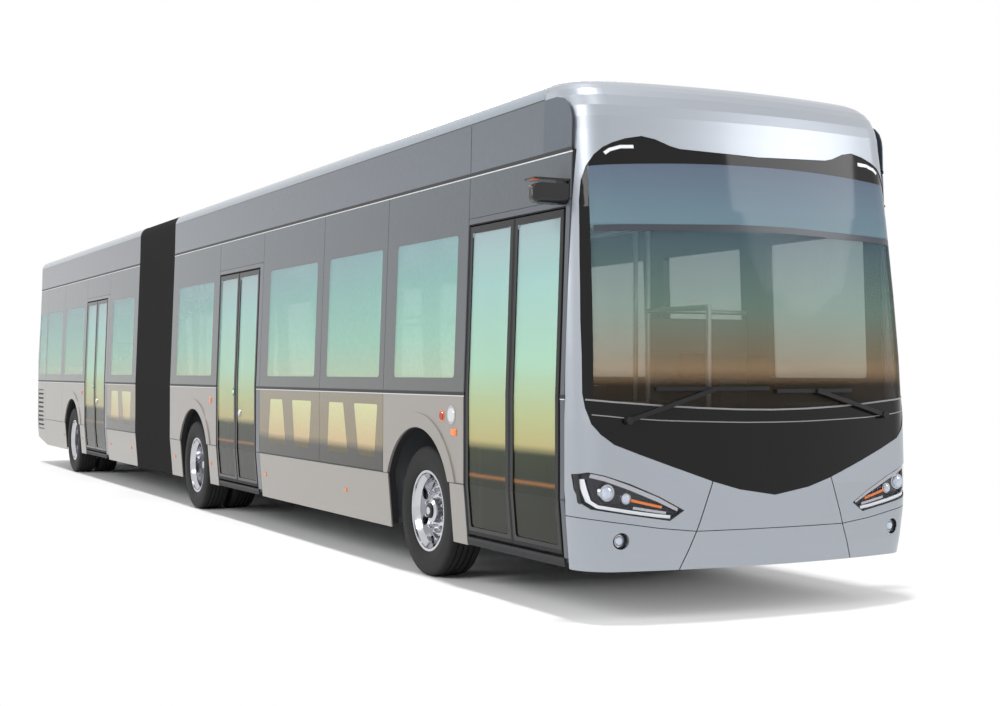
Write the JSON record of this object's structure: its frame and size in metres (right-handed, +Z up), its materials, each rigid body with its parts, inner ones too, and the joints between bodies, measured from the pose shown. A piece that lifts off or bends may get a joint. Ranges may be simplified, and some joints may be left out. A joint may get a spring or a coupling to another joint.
{
  "type": "articulated bus",
  "caption": "Low-floor articulated city bus with a pleated bellows joint, glazed sides, inward-gliding kerb-side doors, steered front wheels and twin-tyred middle and rear axles.",
  "frame": {"origin": "on the ground under the middle of the bus's box", "axes": "+X forward towards the windscreen, +Y to the bus's left, away from the doors, +Z up"},
  "size_m": [18.7326, 2.93, 3.33],
  "materials": {
    "body_paint": "gloss metallic silver",
    "lower_paint": "satin metallic",
    "roof_paint": "gloss",
    "dark_glass": "gloss",
    "windscreen_glass": "gloss",
    "lamp_lens": "gloss",
    "black_plastic": "satin",
    "frame_steel": "matt",
    "floor_sheet": "matt",
    "seat_fabric": "woven",
    "pole_steel": "brushed",
    "tyre": "matt",
    "wheel_metal": "polished",
    "bellows_rubber": "matt",
    "axle_iron": "rough",
    "aluminium": "satin"
  },
  "bodies": {
    "front_car": {"axle_front": "axle_iron", "axle_middle": "axle_iron", "bellows": "bellows_rubber", "camera_pods": "black_plastic", "chassis_front": "frame_steel", "drive_motor": "aluminium", "driver_desk": "black_plastic", "driver_seat": "seat_fabric", "floor_front": "floor_sheet", "front_cap": "body_paint", "front_lamps": "lamp_lens", "glass_front": "dark_glass", "hand_wheel": "black_plastic", "nose_frame": "frame_steel", "nose_panels": "body_paint", "panels_front": "lower_paint", "poles_front": "pole_steel", "roof_front": "roof_paint", "seats_front": "seat_fabric", "walls_front": "frame_steel", "windscreen": "windscreen_glass", "wipers": "black_plastic"},
    "knuckle_left": {"knuckle_left": "axle_iron"},
    "wheel_front_left": {"rim_front_left": "wheel_metal", "tyre_front_left": "tyre"},
    "wheel_middle_left": {"rim_middle_left": "wheel_metal", "tyre_middle_left": "tyre"},
    "wheel_rear_left": {"rim_rear_left": "wheel_metal", "tyre_rear_left": "tyre"},
    "knuckle_right": {"knuckle_right": "axle_iron"},
    "wheel_front_right": {"rim_front_right": "wheel_metal", "tyre_front_right": "tyre"},
    "wheel_middle_right": {"rim_middle_right": "wheel_metal", "tyre_middle_right": "tyre"},
    "wheel_rear_right": {"rim_rear_right": "wheel_metal", "tyre_rear_right": "tyre"},
    "door_1_shaft_rear": {"door_1_shaft_rear": "pole_steel"},
    "door_1_leaf_rear": {"door_1_leaf_rear": "black_plastic"},
    "door_1_shaft_front": {"door_1_shaft_front": "pole_steel"},
    "door_1_leaf_front": {"door_1_leaf_front": "black_plastic"},
    "door_2_shaft_rear": {"door_2_shaft_rear": "pole_steel"},
    "door_2_leaf_rear": {"door_2_leaf_rear": "black_plastic"},
    "door_2_shaft_front": {"door_2_shaft_front": "pole_steel"},
    "door_2_leaf_front": {"door_2_leaf_front": "black_plastic"},
    "door_3_shaft_rear": {"door_3_shaft_rear": "pole_steel"},
    "door_3_leaf_rear": {"door_3_leaf_rear": "black_plastic"},
    "door_3_shaft_front": {"door_3_shaft_front": "pole_steel"},
    "door_3_leaf_front": {"door_3_leaf_front": "black_plastic"},
    "hoop": {"hoop": "aluminium"},
    "rear_car": {"axle_rear": "axle_iron", "chassis_rear": "frame_steel", "floor_rear": "floor_sheet", "glass_rear": "dark_glass", "panels_rear": "lower_paint", "poles_rear": "pole_steel", "rear_cap": "body_paint", "roof_rear": "roof_paint", "seats_rear": "seat_fabric", "tail_lamps": "lamp_lens", "walls_rear": "frame_steel"}
  },
  "joints": [
    {"name": "articulation", "type": "hinge", "parent": "front_car", "child": "rear_car", "pos_m": [-1.28, 0, 0.27], "axis": [0, 0, 1], "range_deg": [-50, 50], "deforming": ["bellows"]},
    {"name": "hoop_turn", "type": "hinge", "parent": "front_car", "child": "hoop", "pos_m": [-1.28, 0, 0.27], "axis": [0, 0, 1], "range_deg": [-25, 25]},
    {"name": "steer_left", "type": "hinge", "parent": "front_car", "child": "knuckle_left", "pos_m": [6.74, 0.85, 0.478], "axis": [0, 0, 1], "range_deg": [-40, 40]},
    {"name": "roll_front_left", "type": "hinge", "parent": "knuckle_left", "child": "wheel_front_left", "pos_m": [6.74, 1.062, 0.478], "axis": [0, 1, 0], "continuous": true},
    {"name": "roll_middle_left", "type": "hinge", "parent": "front_car", "child": "wheel_middle_left", "pos_m": [0.6, 0.95, 0.478], "axis": [0, 1, 0], "continuous": true},
    {"name": "roll_rear_left", "type": "hinge", "parent": "rear_car", "child": "wheel_rear_left", "pos_m": [-6.2, 0.95, 0.478], "axis": [0, 1, 0], "continuous": true},
    {"name": "steer_right", "type": "hinge", "parent": "front_car", "child": "knuckle_right", "pos_m": [6.74, -0.85, 0.478], "axis": [0, 0, 1], "range_deg": [-40, 40]},
    {"name": "roll_front_right", "type": "hinge", "parent": "knuckle_right", "child": "wheel_front_right", "pos_m": [6.74, -1.062, 0.478], "axis": [0, 1, 0], "continuous": true},
    {"name": "roll_middle_right", "type": "hinge", "parent": "front_car", "child": "wheel_middle_right", "pos_m": [0.6, -0.95, 0.478], "axis": [0, 1, 0], "continuous": true},
    {"name": "roll_rear_right", "type": "hinge", "parent": "rear_car", "child": "wheel_rear_right", "pos_m": [-6.2, -0.95, 0.478], "axis": [0, 1, 0], "continuous": true},
    {"name": "door_1_arm_rear", "type": "hinge", "parent": "front_car", "child": "door_1_shaft_rear", "pos_m": [7.5135, -1.135, 1.4], "axis": [0, 0, 1], "range_deg": [0, 88]},
    {"name": "door_1_turn_rear", "type": "hinge", "parent": "door_1_shaft_rear", "child": "door_1_leaf_rear", "pos_m": [7.8935, -1.135, 1.4], "axis": [0, 0, 1], "range_deg": [-176, 0]},
    {"name": "door_1_arm_front", "type": "hinge", "parent": "front_car", "child": "door_1_shaft_front", "pos_m": [8.9365, -1.135, 1.4], "axis": [0, 0, 1], "range_deg": [-88, 0]},
    {"name": "door_1_turn_front", "type": "hinge", "parent": "door_1_shaft_front", "child": "door_1_leaf_front", "pos_m": [8.5565, -1.135, 1.4], "axis": [0, 0, 1], "range_deg": [0, 176]},
    {"name": "door_2_arm_rear", "type": "hinge", "parent": "front_car", "child": "door_2_shaft_rear", "pos_m": [1.4585, -1.135, 1.4], "axis": [0, 0, 1], "range_deg": [0, 88]},
    {"name": "door_2_turn_rear", "type": "hinge", "parent": "door_2_shaft_rear", "child": "door_2_leaf_rear", "pos_m": [1.8385, -1.135, 1.4], "axis": [0, 0, 1], "range_deg": [-176, 0]},
    {"name": "door_2_arm_front", "type": "hinge", "parent": "front_car", "child": "door_2_shaft_front", "pos_m": [2.8815, -1.135, 1.4], "axis": [0, 0, 1], "range_deg": [-88, 0]},
    {"name": "door_2_turn_front", "type": "hinge", "parent": "door_2_shaft_front", "child": "door_2_leaf_front", "pos_m": [2.5015, -1.135, 1.4], "axis": [0, 0, 1], "range_deg": [0, 176]},
    {"name": "door_3_arm_rear", "type": "hinge", "parent": "rear_car", "child": "door_3_shaft_rear", "pos_m": [-5.3265, -1.135, 1.4], "axis": [0, 0, 1], "range_deg": [0, 88]},
    {"name": "door_3_turn_rear", "type": "hinge", "parent": "door_3_shaft_rear", "child": "door_3_leaf_rear", "pos_m": [-4.9465, -1.135, 1.4], "axis": [0, 0, 1], "range_deg": [-176, 0]},
    {"name": "door_3_arm_front", "type": "hinge", "parent": "rear_car", "child": "door_3_shaft_front", "pos_m": [-3.9035, -1.135, 1.4], "axis": [0, 0, 1], "range_deg": [-88, 0]},
    {"name": "door_3_turn_front", "type": "hinge", "parent": "door_3_shaft_front", "child": "door_3_leaf_front", "pos_m": [-4.2835, -1.135, 1.4], "axis": [0, 0, 1], "range_deg": [0, 176]}
  ],
  "couplings": [
    {"joint": "hoop_turn", "follows": "articulation", "ratio": 0.5},
    {"joint": "steer_right", "follows": "steer_left", "ratio": 1},
    {"joint": "door_1_turn_rear", "follows": "door_1_arm_rear", "ratio": -2},
    {"joint": "door_1_arm_front", "follows": "door_1_arm_rear", "ratio": -1},
    {"joint": "door_1_turn_front", "follows": "door_1_arm_rear", "ratio": 2},
    {"joint": "door_2_turn_rear", "follows": "door_2_arm_rear", "ratio": -2},
    {"joint": "door_2_arm_front", "follows": "door_2_arm_rear", "ratio": -1},
    {"joint": "door_2_turn_front", "follows": "door_2_arm_rear", "ratio": 2},
    {"joint": "door_3_turn_rear", "follows": "door_3_arm_rear", "ratio": -2},
    {"joint": "door_3_arm_front", "follows": "door_3_arm_rear", "ratio": -1},
    {"joint": "door_3_turn_front", "follows": "door_3_arm_rear", "ratio": 2}
  ]
}
